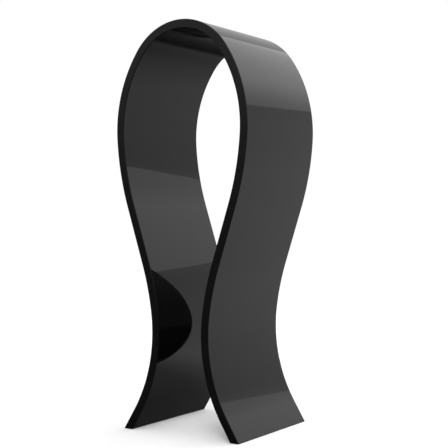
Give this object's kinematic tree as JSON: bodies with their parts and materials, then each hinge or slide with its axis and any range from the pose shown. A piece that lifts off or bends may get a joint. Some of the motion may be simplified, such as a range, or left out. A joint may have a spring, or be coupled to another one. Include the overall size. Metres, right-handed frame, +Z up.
{
  "type": "headphone stand",
  "caption": "Free-standing headphone stand bent from a strip of gloss black acrylic: rounded head for the headband, narrow waist, feet flared outwards.",
  "frame": {"origin": "on the surface that the stand rests on, midway between the feet and midway across the strip", "axes": "+Z up, +X towards the right foot as seen from the front, the width of the strip along Y, front cut edge towards -Y"},
  "size_m": [0.0996, 0.083, 0.26],
  "materials": {
    "black_acrylic": "gloss"
  },
  "bodies": {
    "root": {"bent_sheet": "black_acrylic"}
  },
  "joints": []
}
